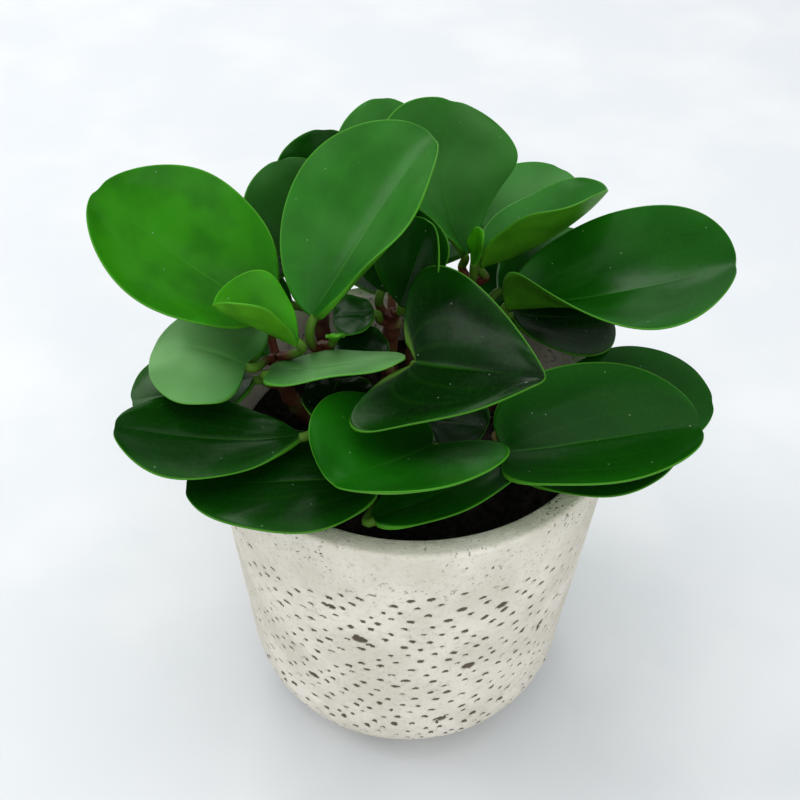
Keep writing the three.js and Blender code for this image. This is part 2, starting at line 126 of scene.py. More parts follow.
# The leaves, by shoot, as they grow from it:
# at: how far up the shoot the stalk leaves it; base and tip: the ends of the midrib; width: at the widest;
# fold: how far both halves rise from the midrib, at base and tip, in degrees; roll: how far the right half
# rises over the left; ease: how soon fold and roll change; bow and bend: how far the midrib arches up and
# to the right; cup: how much more each half rises towards its margin; lobe: how far the margins reach back
# past the base; skew: how much further the right half does; sinus: how steeply they do so beside the stalk;
# wide: where the blade is widest, below 1 nearer the base; blunt: how square its ends are, lower is squarer;
# soft: how widely the blade rounds over its midrib, as a share of its half width;
# tint: from 0, dark, for old leaves and for painted shade, to 1, bright, for young leaves and for painted
# light; grey: how much a painted sheen greys it, and how much rougher that makes it
PLAIN_LEAF = dict(fold=(10, 5), roll=(0, 0), ease=1, bow=0, bend=0, cup=0, lobe=0.15, skew=0, sinus=0,
                  wide=1.35, blunt=0.55, soft=0.3, tint=0.4, grey=0)
LEAVES = {
    "back_right": [
        dict(at=0.95, base=(17, 47, 152), tip=(11, 68, 200), width=54,
             fold=(52, 10), roll=(-52, -4), ease=1.5, bow=-3, bend=-5, wide=1.6, blunt=0.45, tint=0.55,
             grey=0.25),
        dict(at=0.6, base=(27, 57, 150), tip=(52, 84, 165), width=40, fold=(10, 5), tint=0.5, grey=0.2),
        dict(at=0.95, base=(22, 43, 151), tip=(65, 57, 174), width=46,
             fold=(62, 38), roll=(35, 22), bow=-5, lobe=0.3, wide=1.1, blunt=0.5, tint=0.5, grey=0.1),
        dict(at=1, base=(20, 37, 156), tip=(21, 38, 170), width=7, fold=(40, 30), tint=0.85, young=True),
        dict(at=0.45, base=(30, 46, 138), tip=(74, 78, 134), width=44, fold=(8, 4), bow=4),
        dict(at=0.2, base=(26, 42, 126), tip=(60, 88, 124), width=40, fold=(6, 4), bow=3),
    ],
    "upright": [
        dict(at=0.95, base=(-31.5, 0, 160), tip=(5, 33, 206), width=61,
             fold=(26, 12), roll=(6, 6), bow=-3, bend=-4, cup=34, wide=1.2, blunt=0.5, tint=0.55, grey=0.16),
        dict(at=1, base=(-25, -3, 155), tip=(-24, -11, 162), width=6, tint=0.9, young=True),
    ],
    "centre": [
        dict(at=0.7, base=(-8, 52, 152), tip=(-13, 87, 190), width=36, fold=(10, 5), tint=0.55, grey=0.2),
        dict(at=0.98, base=(-4, 14, 155), tip=(4, 17, 186), width=30,
             fold=(40, 30), roll=(-25, -25), lobe=0.4, tint=0.25),
        dict(at=0.8, base=(-11, 26, 152), tip=(-4, 38, 179), width=43, fold=(10, 5), tint=0.2),
        dict(at=0.82, base=(-13, 17, 149), tip=(-27, 16, 147.5), width=22, fold=(8, 4), lobe=0.4, tint=0.25),
    ],
    "left": [
        dict(at=0.95, base=(-47, 8, 156), tip=(-101, 28, 188), width=59,
             fold=(18, 8), roll=(17, 14), bow=-4, cup=32, lobe=0.3, wide=1.1, blunt=0.5, tint=0.7),
        dict(at=1, base=(-36, -9, 157), tip=(-62, -7, 170), width=34,
             fold=(75, 65), roll=(-10, -10), tint=0.8, young=True),
        dict(at=0.95, base=(-52, -12.5, 150), tip=(-83, -1, 147), width=41,
             fold=(0, 0), roll=(11, 15), bow=3, lobe=0.45, wide=0.85, blunt=0.5, grey=0.95),
        dict(at=0.82, base=(-44, -15, 149), tip=(-2, -16, 158), width=26,
             fold=(4, 4), roll=(20, 20), lobe=0.7, wide=0.75, blunt=0.6, tint=0.45, grey=0.65),
        dict(at=0.6, base=(-51, -5, 138), tip=(-89, -16, 137), width=38, fold=(6, 4), tint=0.2, grey=0.2),
        dict(at=0.4, base=(-48, 18, 128), tip=(-80, 38, 126), width=34, fold=(8, 4), bow=3),
    ],
    "front": [
        dict(at=0.88, base=(6, -42, 145), tip=(-23, -62, 149), width=66,
             fold=(4, 4), roll=(-12, -12), cup=26, lobe=0.7, skew=-0.25, sinus=0.4, wide=1, blunt=0.5,
             tint=0.38),
        dict(at=0.5, base=(-11, -56, 127.8), tip=(35, -38, 138), width=25,
             fold=(12, 14), roll=(6, 6), lobe=0.2, wide=0.95, blunt=0.55, tint=0.3),
    ],
    "front_right": [
        dict(at=0.98, base=(28, -40, 141), tip=(86, -35, 150), width=52,
             fold=(12, 6), roll=(-6, -6), cup=34, lobe=0.5, wide=0.95, blunt=0.45, tint=0.25),
        dict(at=0.75, base=(34, -37, 128), tip=(82, -29, 138), width=34, fold=(6, 4), tint=0.2),
    ],
    "right": [
        dict(at=0.98, base=(31, 22, 149.5), tip=(99, 8, 178.5), width=70,
             fold=(85, 20), roll=(35, -8), ease=2, bow=-3, lobe=0.15, wide=1.05, blunt=0.42, soft=0.5,
             tint=0.3),
        dict(at=0.7, base=(34, 34, 136), tip=(70, 40, 131), width=46, fold=(8, 4), lobe=0.5, tint=0.06),
        dict(at=0.5, base=(42, 0, 130), tip=(98, -4, 132), width=52, fold=(6, 4), tint=0.33),
    ],
    "back_left": [
        dict(at=0.8, base=(-34, 38, 152), tip=(-46, 58, 182), width=38, tint=0.3, grey=0.15),
        dict(at=0.95, base=(-31, 53, 153), tip=(-32, 70, 187), width=34, tint=0.25),
        dict(at=0.7, base=(-41, 43, 147), tip=(-56, 49, 150), width=28, fold=(8, 4), tint=0.1),
        dict(at=0.75, base=(-37, 51, 143), tip=(-59, 93, 144), width=42, fold=(8, 4), bow=4),
        dict(at=0.5, base=(-43, 42, 133), tip=(-90, 58, 137), width=40, fold=(8, 4), bow=3),
    ],
    "middle": [
        dict(at=0.98, base=(1, -19, 158), tip=(37.5, -41, 172), width=64,
             fold=(13, 13), roll=(-24, -24), cup=22, lobe=0.4, sinus=0.6, wide=0.4, blunt=0.85, soft=0.5,
             tint=0),
        dict(at=0.6, base=(-12, -17, 140), tip=(-35, -14, 141), width=24, tint=0.05),
        dict(at=0.45, base=(4, -11, 128), tip=(24, -18, 131), width=28, fold=(8, 4), tint=0.05),
        dict(at=0.72, base=(-9, 0, 143.2), tip=(-24, 10, 144.5), width=21, fold=(6, 4), lobe=0.3, tint=0.05),
        dict(at=0.74, base=(-12, -18, 144.5), tip=(-25, -19, 143.6), width=18,
             fold=(3, 3), lobe=0.5, sinus=0.5, tint=0.03),
    ],
    "low_left": [
        dict(at=0.98, base=(-34, -33, 139.5), tip=(-90, -36, 145), width=38, fold=(6, 4), bow=-3, tint=0.14),
        dict(at=0.4, base=(-10, -43, 133), tip=(-68, -48, 132), width=44,
             fold=(6, 4), lobe=0.3, wide=0.95, tint=0.14),
    ],
    "back": [
        dict(at=0.95, base=(-5, 54, 139), tip=(-27, 47, 145), width=30, fold=(8, 4), tint=0.05),
        dict(at=0.8, base=(10, 62, 138), tip=(24, 116, 140), width=46, fold=(8, 4), bow=4, tint=0.3),
        dict(at=0.9, base=(0, 64, 142), tip=(-12, 112, 158), width=46, fold=(10, 6), bow=-2, tint=0.3),
        dict(at=0.6, base=(-6, 58, 128), tip=(-22, 104, 126), width=42, fold=(6, 4), bow=3),
    ],
}

# ---- colours of the leaves ----
OLD_AND_SHADED_GREEN = (0.0022, 0.014, 0.0015)
LEAF_GREEN = (0.012, 0.130, 0.005)
YOUNG_AND_LIT_GREEN = (0.070, 0.340, 0.008)
DARK_PATCH = (0.003, 0.040, 0.002)
PALE_FLECK = (0.03, 0.22, 0.012)
PAINTED_SHADE_HEART = (0.002, 0.022, 0.0015)
OUTER_GREEN = (0.025, 0.210, 0.008)
PAINTED_SHEEN_GREY = (0.18, 0.36, 0.145)
VEIN_GREEN = (0.07, 0.26, 0.025)
UNDERSIDE_DEEP = (0.060, 0.225, 0.011)
UNDERSIDE_PALE = (0.095, 0.300, 0.016)
UNDERSIDE_OLD_AND_SHADED = (0.05, 0.2, 0.02)
MARGIN_GREEN = (0.085, 0.27, 0.025)
STALK_GREEN = (0.07, 0.15, 0.02)
STALK_RED = (0.10, 0.035, 0.02)
DUST = (0.45, 0.5, 0.42)
# the side veins: how far across each starts, and how much further out it ends
SIDE_VEINS = ((0.16, 0.30), (0.42, 0.32))

# ---- room, lights and camera, in metres ----
ROOM_COLOUR = (0.95, 0.975, 1.0)
ROOM_BRIGHTNESS = 0.72
FLOOR_REACH = 6.0
# place, size and power of each soft light, which faces the middle of the plant
LIGHTS = {
    "ceiling_light": ((-0.1, 0.2, 1.4), 1.3, 7),
    "window": ((-1.2, 0.1, 0.9), 0.45, 3.2),
    "back_window": ((-0.4, 1.2, 1.1), 0.5, 3.5),
    "fill": ((0.2, -1.3, 0.8), 1.2, 7),
}
LIT_HEIGHT = 0.13
CAMERA_LENS = 58.5
CAMERA_HEIGHT_ANGLE = 41.5
CAMERA_ROLL = 1.3
CAMERA_DISTANCE = 0.429
CAMERA_AIM = (-0.004, 0.0, 0.1265)


# ---- meshes ----
def unit(v):
    """Each vector over its own length."""
    return v / np.linalg.norm(v, axis=-1, keepdims=True)


def smooth(value, low, high):
    """0 below low, 1 above high, and the smooth step 3x^2 - 2x^3 between."""
    x = np.clip((value - low) / (high - low), 0, 1)
    return x * x * (3 - 2 * x)


def bell(distance, reach):
    """e to the power of minus the square of distance over reach."""
    return np.exp(-(distance / reach) ** 2)


def steps_round(count):
    """The angles of equal steps once round."""
    return np.arange(count) / count * 2 * np.pi


def circle(radius, turn, height):
    """Points at radius and height about the upright axis, turn round from +X."""
    return np.stack(np.broadcast_arrays(radius * np.cos(turn), radius * np.sin(turn), height), -1)


def grid_faces(rows, columns):
    """Quads of a grid of rows whose columns close into loops."""
    row, column = np.meshgrid(np.arange(rows - 1), np.arange(columns), indexing="ij")
    after = (column + 1) % columns
    lower, upper = row * columns, (row + 1) * columns
    return np.stack([lower + column, lower + after, upper + after, upper + column], -1).reshape(-1, 4)


def loft(name, points, material, slot, node, attributes=None):
    """A closed body from loops of points: quads between the loops, one flat face over each end loop."""
    rows, columns = points.shape[:2]
    faces = grid_faces(rows, columns).tolist()
    faces.append(list(range(columns - 1, -1, -1)))
    faces.append(list(range((rows - 1) * columns, rows * columns)))
    mesh = bpy.data.meshes.new(name)
    mesh.from_pydata((points.reshape(-1, 3) * MM).tolist(), [], faces)
    mesh.polygons.foreach_set("use_smooth", np.ones(len(faces), bool))
    for key, values in (attributes or {}).items():
        layer = mesh.attributes.new(key, "FLOAT", "POINT")
        spread = np.broadcast_to(values, (rows, columns))
        layer.data.foreach_set("value", spread.astype(np.float32).ravel())
    return place(name, mesh, material, slot, node)


def place(name, mesh, material, slot, *nodes):
    """An object for the mesh, riding on the root body and standing for its CAD nodes."""
    mesh.update()
    mesh.materials.append(material)
    piece = bpy.data.objects.new(name, mesh)
    bpy.context.scene.collection.objects.link(piece)
    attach(piece, "root")
    if nodes:
        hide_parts(*nodes)
    return piece


# ---- material building blocks ----
def new_material(name):
    """A material with one shader, and its node tree."""
    material = bpy.data.materials.new(name)
    material.use_nodes = True
    return material, material.node_tree, material.node_tree.nodes["Principled BSDF"]


def feed(tree, socket, value):
    """Links a socket to another, or sets it to a number or colour."""
    if isinstance(value, bpy.types.NodeSocket):
        tree.links.new(value, socket)
    elif hasattr(value, "__len__") and len(value) == 3 and len(socket.default_value) == 4:
        socket.default_value = (*value, 1)
    else:
        socket.default_value = value


def maths(tree, operation, *values):
    """The result of one Math node."""
    node = tree.nodes.new("ShaderNodeMath")
    node.operation = operation
    for socket, value in zip(node.inputs, values):
        feed(tree, socket, value)
    return node.outputs[0]


def times(tree, first, second):
    """The product of two numbers."""
    return maths(tree, "MULTIPLY", first, second)


def plus(tree, first, second):
    """The sum of two numbers."""
    return maths(tree, "ADD", first, second)


def minus(tree, first, second):
    """The first number less the second."""
    return maths(tree, "SUBTRACT", first, second)


def step(tree, value, low, high):
    """0 at low and 1 at high, smooth between."""
    node = tree.nodes.new("ShaderNodeMapRange")
    node.interpolation_type = "SMOOTHSTEP"
    for socket, given in zip(node.inputs, (value, low, high)):
        feed(tree, socket, given)
    return node.outputs[0]


def blend(tree, share, first, second):
    """The first colour where share is 0, the second where it is 1."""
    node = tree.nodes.new("ShaderNodeMix")
    node.data_type = "RGBA"
    for index, value in ((0, share), (6, first), (7, second)):
        feed(tree, node.inputs[index], value)
    return node.outputs[2]


def attribute(tree, name):
    """A number carried by the mesh."""
    node = tree.nodes.new("ShaderNodeAttribute")
    node.attribute_name = name
    return node.outputs["Fac"]


def grain(tree, size, detail=3.0, kind="Noise", stretch=(1, 1, 1)):
    """Noise, or distance to scattered points, with features about size millimetres across."""
    where = tree.nodes.new("ShaderNodeTexCoord").outputs["Object"]
    mapping = tree.nodes.new("ShaderNodeMapping")
    mapping.inputs["Scale"].default_value = stretch
    tree.links.new(where, mapping.inputs["Vector"])
    node = tree.nodes.new(f"ShaderNodeTex{kind}")
    node.inputs["Scale"].default_value = 1 / (size * MM)
    if kind == "Noise":
        node.inputs["Detail"].default_value = detail
    tree.links.new(mapping.outputs["Vector"], node.inputs["Vector"])
    return node.outputs[0]


def relief(tree, shader, height, depth):
    """Bump of the given depth in millimetres."""
    node = tree.nodes.new("ShaderNodeBump")
    node.inputs["Distance"].default_value = depth * MM
    feed(tree, node.inputs["Height"], height)
    tree.links.new(node.outputs[0], shader.inputs["Normal"])


# ---- materials ----
def leaf_veins(tree, side, along):
    """1 on a vein: the midrib, which narrows to the tip, and fainter pairs that spread out from the base."""
    width = plus(tree, 0.010, times(tree, minus(tree, 1.0, along), 0.035))
    vein = minus(tree, 1.0, step(tree, side, 0.0, width))
    vein = times(tree, vein, minus(tree, 1.0, step(tree, along, 0.2, 1.0)))
    for start, spread in SIDE_VEINS:
        line = plus(tree, start, times(tree, along, spread))
        away = maths(tree, "ABSOLUTE", minus(tree, side, line))
        faint = minus(tree, 1.0, step(tree, away, 0.0, 0.045))
        fade = minus(tree, 0.26, times(tree, along, 0.25))
        vein = maths(tree, "MAXIMUM", vein, times(tree, faint, fade))
    return vein


def leaf_top(tree, side, along, vein):
    """The upper skin: green by age and by painted light and shade per leaf, patchy, darkened at the heart
    with painted shade, pale outward, greyed with a painted sheen, and veined.
    """
    tint, grey = attribute(tree, "tint"), attribute(tree, "grey")
    # tint paints light and shade leaf by leaf as well as age: leaves the light misses are painted darker,
    # lit ones brighter
    top = blend(tree, step(tree, tint, 0.0, 0.6), OLD_AND_SHADED_GREEN, LEAF_GREEN)
    top = blend(tree, step(tree, tint, 0.5, 1.0), top, YOUNG_AND_LIT_GREEN)
    patch = step(tree, grain(tree, 14, 2.0), 0.35, 0.7)
    top = blend(tree, times(tree, patch, 0.35), top, DARK_PATCH)
    fleck = step(tree, grain(tree, 1.1), 0.45, 0.75)
    top = blend(tree, times(tree, fleck, 0.06), top, PALE_FLECK)
    # painted shade: darker towards the base and the midrib, where the leaves shade each other
    shaded_heart = times(tree, step(tree, along, 0.75, 0.0), step(tree, side, 1.0, 0.1))
    top = blend(tree, times(tree, shaded_heart, 0.45), top, PAINTED_SHADE_HEART)
    outward = step(tree, side, 0.6, 1.0)
    top = blend(tree, times(tree, outward, 0.13), top, OUTER_GREEN)
    # painted sheen: a streaky grey wash that stands for the light which the leaf reflects
    sheen_streaks = plus(tree, 0.6, times(tree, step(tree, grain(tree, 26, 1.0), 0.35, 0.65), 0.6))
    sheen_streaks = times(tree, sheen_streaks, step(tree, along, -0.2, 0.7))
    top = blend(tree, times(tree, grey, sheen_streaks), top, PAINTED_SHEEN_GREY)
    return blend(tree, times(tree, vein, 0.16), top, VEIN_GREEN)


def leaf_skin():
    """Thick glossy green, paler on the veins, yellow-green beneath, with a pale line round the margin."""
    material, tree, shader = new_material("leaf_skin")
    tint, grey, under = attribute(tree, "tint"), attribute(tree, "grey"), attribute(tree, "under")
    side, along = maths(tree, "ABSOLUTE", attribute(tree, "across")), attribute(tree, "along")
    vein = leaf_veins(tree, side, along)
    beneath = blend(tree, step(tree, grain(tree, 9), 0.3, 0.7), UNDERSIDE_DEEP, UNDERSIDE_PALE)
    # old leaves, and leaves painted darker by tint to stand for shade, get a deeper underside
    beneath = blend(tree, times(tree, minus(tree, 1.0, tint), 0.5), beneath, UNDERSIDE_OLD_AND_SHADED)
    colour = blend(tree, under, leaf_top(tree, side, along, vein), beneath)
    margin = minus(tree, 1.0, step(tree, attribute(tree, "rim"), 0.1, 0.6))
    colour = blend(tree, times(tree, margin, 0.6), colour, MARGIN_GREEN)
    on_stalk = attribute(tree, "stalk")
    stalk_colour = blend(tree, step(tree, on_stalk, 0.55, 1.05), STALK_GREEN, STALK_RED)
    colour = blend(tree, step(tree, on_stalk, 0.0, 0.12), colour, stalk_colour)
    speck = step(tree, grain(tree, 5.5, kind="Voronoi"), 0.05, 0.035)
    colour = blend(tree, times(tree, speck, 0.35), colour, DUST)
    feed(tree, shader.inputs["Base Color"], colour)
    rough = plus(tree, 0.19, times(tree, grain(tree, 12), 0.12))
    rough = plus(tree, rough, times(tree, grey, 0.15))
    feed(tree, shader.inputs["Roughness"], plus(tree, rough, times(tree, under, 0.12)))
    relief(tree, shader, plus(tree, grain(tree, 5, 2.0), times(tree, vein, -0.25)), 0.1)
    shader.inputs["Specular IOR Level"].default_value = 0.1
    return material


def stem_skin():
    """Reddish brown with green showing through, and fine lengthwise grain."""
    material, tree, shader = new_material("stem_skin")
    colour = blend(tree, step(tree, grain(tree, 5), 0.35, 0.65), (0.075, 0.022, 0.014), (0.13, 0.052, 0.025))
    green = times(tree, step(tree, grain(tree, 9, 1.0), 0.5, 0.75), 0.5)
    colour = blend(tree, green, colour, (0.20, 0.27, 0.06))
    feed(tree, shader.inputs["Base Color"], colour)
    feed(tree, shader.inputs["Roughness"], plus(tree, 0.42, times(tree, grain(tree, 2), 0.2)))
    relief(tree, shader, grain(tree, 0.9, stretch=(1, 1, 0.2)), 0.25)
    return material


def potting_soil():
    """Nearly black and granular, with a few brown fibres."""
    material, tree, shader = new_material("potting_soil")
    crumb = step(tree, grain(tree, 2.5), 0.4, 0.65)
    colour = blend(tree, crumb, (0.006, 0.004, 0.003), (0.024, 0.015, 0.010))
    fibre = times(tree, step(tree, grain(tree, 6, kind="Voronoi"), 0.12, 0.06), 0.5)
    colour = blend(tree, fibre, colour, (0.07, 0.04, 0.02))
    feed(tree, shader.inputs["Base Color"], colour)
    feed(tree, shader.inputs["Roughness"], plus(tree, 0.8, times(tree, grain(tree, 1), 0.2)))
    relief(tree, shader, grain(tree, 0.7, 4.0), 0.6)
    return material


def pit_mask(tree):
    """1 inside a pit, worked out as in pit_pattern from the pits' own map, which counts columns and rows."""
    places = tree.nodes.new("ShaderNodeSeparateXYZ")
    pit_map = tree.nodes.new("ShaderNodeUVMap")
    pit_map.uv_map = "pits"
    tree.links.new(pit_map.outputs[0], places.inputs[0])
    up = places.outputs["Y"]
    row = maths(tree, "FLOOR", up)
    shifted = plus(tree, places.outputs["X"], times(tree, maths(tree, "FLOORED_MODULO", row, 2.0), 0.5))
    column = maths(tree, "FLOORED_MODULO", maths(tree, "FLOOR", shifted), float(PIT_COLUMNS))

    def wave(by_column, by_row, size):
        """The sine of so much of the column and so much of the row, times size."""
        angle = plus(tree, times(tree, column, by_column), times(tree, row, by_row))
        return times(tree, maths(tree, "SINE", angle), size)

    def off_middle(value, shift):
        """How far a place lies from the middle of its pit, in columns or rows."""
        return plus(tree, minus(tree, maths(tree, "FRACT", value), 0.5), wave(*shift))

    x = times(tree, off_middle(shifted, PIT_SHIFT_ACROSS), PIT_SPACING / PIT_HALF_WIDTH)
    y = times(tree, off_middle(up, PIT_SHIFT_UP), PIT_ROW / PIT_HALF_HEIGHT)
    size = plus(tree, PIT_MEAN_SIZE, wave(*PIT_SWELL))
    far = maths(tree, "SQRT", plus(tree, times(tree, x, x), times(tree, y, y)))
    ragged = times(tree, minus(tree, grain(tree, 0.9), 0.5), 0.7)
    far = plus(tree, maths(tree, "DIVIDE", far, size), ragged)
    return times(tree, step(tree, far, 1.1, 0.8), attribute(tree, "pitted"))


def cast_concrete():
    """Pale warm grey, cloudy and grainy, with dark grit near the lip, and pits and hollows darkened with
    painted shade.
    """
    material, tree, shader = new_material("cast_concrete")
    cloud = step(tree, grain(tree, 22, 4.0), 0.35, 0.7)
    colour = blend(tree, cloud, (0.60, 0.565, 0.49), (0.71, 0.675, 0.60))
    sand = step(tree, grain(tree, 2.2, 4.0), 0.5, 0.75)
    colour = blend(tree, times(tree, sand, 0.35), colour, (0.42, 0.385, 0.32))
    grit = step(tree, grain(tree, 1.3, 4.0), 0.60, 0.68)
    grit = times(tree, grit, step(tree, grain(tree, 16), 0.42, 0.62))
    grit = times(tree, grit, plus(tree, 0.25, attribute(tree, "near_lip")))
    colour = blend(tree, grit, colour, (0.075, 0.065, 0.05))
    # painted shade: the pits and hollows are darkened in colour as though shadowed
    pit = maths(tree, "MAXIMUM", pit_mask(tree), step(tree, attribute(tree, "hollow"), 0.2, 0.55))
    colour = blend(tree, times(tree, pit, 0.92), colour, (0.085, 0.068, 0.045))
    feed(tree, shader.inputs["Base Color"], colour)
    feed(tree, shader.inputs["Roughness"], plus(tree, 0.72, times(tree, grain(tree, 3), 0.25)))
    relief(tree, shader, plus(tree, grain(tree, 0.8, 4.0), grain(tree, 4.0, 3.0)), 0.35)
    return material


def pale_floor():
    """A plain pale surface with the faintest clouding."""
    material, tree, shader = new_material("pale_floor")
    cloud = step(tree, grain(tree, 90, 3.0), 0.4, 0.7)
    colour = blend(tree, cloud, (0.60, 0.617, 0.632), (0.645, 0.655, 0.665))
    feed(tree, shader.inputs["Base Color"], colour)
    shader.inputs["Roughness"].default_value = 0.85
    return material


# ---- pot ----
def inner_radius(height):
    """The inside wall widens with the square root of the height above the floor."""
    climb = (height - FLOOR_THICKNESS) / (POT_HEIGHT - FLOOR_THICKNESS)
    return INNER_FLOOR_RADIUS + (RIM_RADIUS - LIP_WIDTH - INNER_FLOOR_RADIUS) * np.sqrt(climb)


def pot_profile():
    """Radius and height from the middle of the foot, round the corner, up the wall, over the lip and down
    inside, and how many of these points are outside, below the lip."""
    foot = np.array([[1.0, 0.0], [FOOT_RADIUS, 0.0]])
    turn = np.linspace(np.pi / 2, 0, 26)
    corner_radius = CORNER_TOP_RADIUS - CORNER_REACH * (1 - np.cos(turn))
    corner = np.stack([corner_radius, CORNER_HEIGHT * (1 - np.sin(turn))], 1)
    rise = np.linspace(0, 1, WALL_ROWS)[1:, None]
    wall_foot = np.array([[CORNER_TOP_RADIUS, CORNER_HEIGHT]])
    wall_top = np.array([[RIM_RADIUS, POT_HEIGHT - LIP_ROUND]])
    wall = wall_foot * (1 - rise) + rise * wall_top
    turn = np.linspace(0, np.pi / 2, 6)[1:]
    less, more = LIP_ROUND * (1 - np.cos(turn)), LIP_ROUND * (1 - np.sin(turn))
    lip = np.stack([RIM_RADIUS - less, POT_HEIGHT - more], 1)
    inner_lip = np.stack([RIM_RADIUS - LIP_WIDTH + more, POT_HEIGHT - less], 1)
    down = np.array([118.0, 112.0, 106.0, 80.0, 50.0, 30.0, 18.0, 12.0, FLOOR_THICKNESS])
    inner = np.stack([inner_radius(down), down], 1)
    profile = np.concatenate([foot, corner, wall, lip, inner_lip, inner, [[1.0, FLOOR_THICKNESS]]])
    return profile, len(foot) + len(corner) + len(wall)


def pit_pattern(turn, travel):
    """The map of the pits, and how deep each point lies in one, from 0 to 1.

    Columns are equal turns and rows equal steps up the wall, both pushed about by slow sines, so the rows
    wander. Every other row is set half a column over. Each pit is moved and sized by sines of its column and
    row."""
    column = turn / (2 * np.pi) * PIT_COLUMNS
    row = travel / PIT_ROW
    u = column + 0.2 * np.sin(5 * turn + 0.11 * travel) + 0.1 * np.sin(11 * turn - 0.23 * travel)
    v = row + 0.22 * np.sin(4 * turn + 1.0) + 0.1 * np.sin(9 * turn + 0.15 * travel)
    j = np.floor(v)
    shifted = u + 0.5 * np.mod(j, 2)
    i = np.mod(np.floor(shifted), PIT_COLUMNS)

    def wave(by_column, by_row, size):
        """The sine of so much of the column and so much of the row, times size."""
        return size * np.sin(by_column * i + by_row * j)

    x = (shifted - np.floor(shifted) - 0.5 + wave(*PIT_SHIFT_ACROSS)) * (PIT_SPACING / PIT_HALF_WIDTH)
    y = (v - j - 0.5 + wave(*PIT_SHIFT_UP)) * (PIT_ROW / PIT_HALF_HEIGHT)
    size = PIT_MEAN_SIZE + wave(*PIT_SWELL)
    return u, v, 1 - smooth(np.hypot(x, y) / size, 0.55, 1.25)


def hollow_pattern(turn, radius, height):
    """How deep each point lies in one of the larger hollows, which are ovals on the wall, from 0 to 1."""
    hollow = 0 * turn
    for degrees, up, half_width, half_height in HOLLOWS:
        off = np.angle(np.exp(1j * (turn - math.radians(degrees)))) * radius
        far = np.hypot(off / half_width, (height - up) / half_height)
        hollow = np.maximum(hollow, 1 - smooth(far, 0.75, 1.15))
    return hollow


def map_pits(pot, u, v):
    """The pits' own map on the pot's faces. Faces that close the round reach on past the last column."""
    faces = grid_faces(len(u), POT_COLUMNS)
    u, v = u.ravel()[faces], v.ravel()[faces]
    last = faces[:, 0] % POT_COLUMNS == POT_COLUMNS - 1
    u[last, 1:3] += PIT_COLUMNS
    end_faces = np.zeros((2 * POT_COLUMNS, 2))
    corners = np.concatenate([np.stack([u, v], -1).reshape(-1, 2), end_faces])
    layer = pot.data.uv_layers.new(name="pits")
    layer.data.foreach_set("uv", corners.astype(np.float32).ravel())


def cast_pot(material):
    """The profile turned once round; the wall is sunk at each pit and hollow and roughened by slow waves."""
    profile, outside_points = pot_profile()
    step_length = np.hypot(*np.diff(profile, axis=0).T)
    travel = np.concatenate([[0], np.cumsum(step_length)])[:, None]
    turn = steps_round(POT_COLUMNS)[None, :] + 0 * travel
    radius, height = profile[:, :1] + 0 * turn, profile[:, 1:] + 0 * turn
    outside = np.arange(len(profile))[:, None] < outside_points
    top = PITS_END - 3 * np.sin(turn * 2 + 0.6) - 2.5 * np.sin(turn * 5) - 1.5 * np.sin(turn * 11)
    pitted = outside * (1 - smooth(height, top - 3, top + 1)) * smooth(height, 2.5, 6)
    u, v, depth = pit_pattern(turn, travel)
    hollow = outside * hollow_pattern(turn, radius, height)
    wave = 0.16 * np.sin(3 * turn + 0.05 * height) + 0.1 * np.sin(7 * turn - 0.09 * height)
    sink = np.maximum(PIT_DEPTH * depth * pitted, HOLLOW_DEPTH * hollow)
    sink = sink + outside * np.abs(wave) * smooth(height, 3, 12)
    chips = np.sin(23 * turn) * np.sin(17 * turn + 2) * np.sin(41 * turn)
    near_lip = smooth(height, 96, 122) + 0.3 * smooth(chips, 0.2, 0.6)
    near_lip = outside * near_lip + (1 - outside) * 0.9
    pot = loft("cast_pot", circle(radius - sink, turn, height), material, "concrete", "pot",
               dict(pitted=pitted, hollow=hollow, near_lip=near_lip))
    map_pits(pot, u, v)
    return pot


# ---- soil ----
def soil_bed(material):
    """A disc of soil, its top lumpy by sines of place, and its sides down to the pot's floor."""
    rings = np.linspace(1, 0.004, 90)[:, None]
    turn = steps_round(200)
    edge = inner_radius(SOIL_TOP) - SOIL_GAP
    x, y = edge * rings * np.cos(turn), edge * rings * np.sin(turn)
    lumps = 0.7 * np.sin(0.9 * x + 0.4 * y) * np.sin(0.8 * y - 0.3 * x)
    lumps = lumps + 0.5 * np.sin(2.3 * x + 1.0) * np.sin(2.1 * y)
    lumps = lumps + 0.3 * np.sin(4.7 * x - 2.2 * y) * np.sin(4.1 * y + 1.7 * x)
    top = np.stack([x, y, SOIL_TOP - 0.9 + lumps * smooth(1 - rings, 0.0, 0.05)], -1)
    side = []
    for height in (FLOOR_THICKNESS + 0.3, 14, 30, 60, 90):
        radius = inner_radius(max(height - 0.3, FLOOR_THICKNESS)) - SOIL_GAP
        side.append(circle(radius, turn, height))
    return loft("potting_soil", np.concatenate([np.array(side), top]), material, "soil", "soil")


